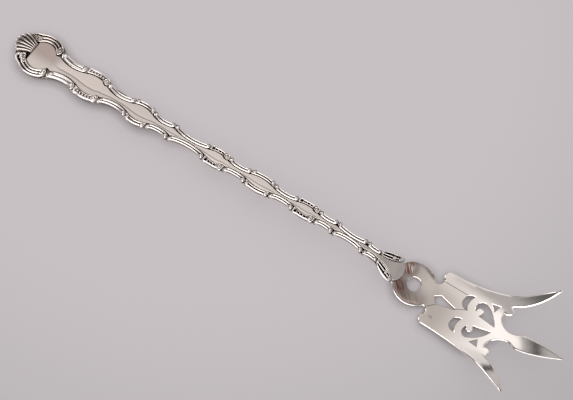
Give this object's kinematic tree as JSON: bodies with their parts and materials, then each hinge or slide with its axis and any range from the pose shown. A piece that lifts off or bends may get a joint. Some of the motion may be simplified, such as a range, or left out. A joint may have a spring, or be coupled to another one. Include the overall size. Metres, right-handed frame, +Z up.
{
  "type": "serving fork",
  "caption": "Long silver serving fork: a scroll-edged handle with a shell end, a small holed bowl, and a pierced plate with upturned tines for cutting and lifting soft food.",
  "frame": {"origin": "on the table under the middle of the fork's box, as it lies face up", "axes": "+X along the fork toward the tines, +Y to its left, +Z up from the table"},
  "size_m": [0.2168, 0.0392, 0.015],
  "materials": {
    "handle_silver": "polished sterling silver with fine wear scratches",
    "scroll_silver": "polished scrolls with dark tarnish in the hollows",
    "shell_silver": "polished ribs with dark tarnish between them",
    "bowl_silver": "polished, with warm tarnish by the heel",
    "plate_silver": "polished sheet with fine wear scratches"
  },
  "bodies": {
    "root": {"handle_bar": "handle_silver", "shell_crest": "shell_silver", "heart_scroll_left": "scroll_silver", "heart_scroll_right": "scroll_silver", "stem_border_left": "scroll_silver", "stem_border_right": "scroll_silver", "shoulder_scroll_left": "scroll_silver", "shoulder_scroll_right": "scroll_silver", "bowl": "bowl_silver", "fork_plate": "plate_silver"}
  },
  "joints": []
}
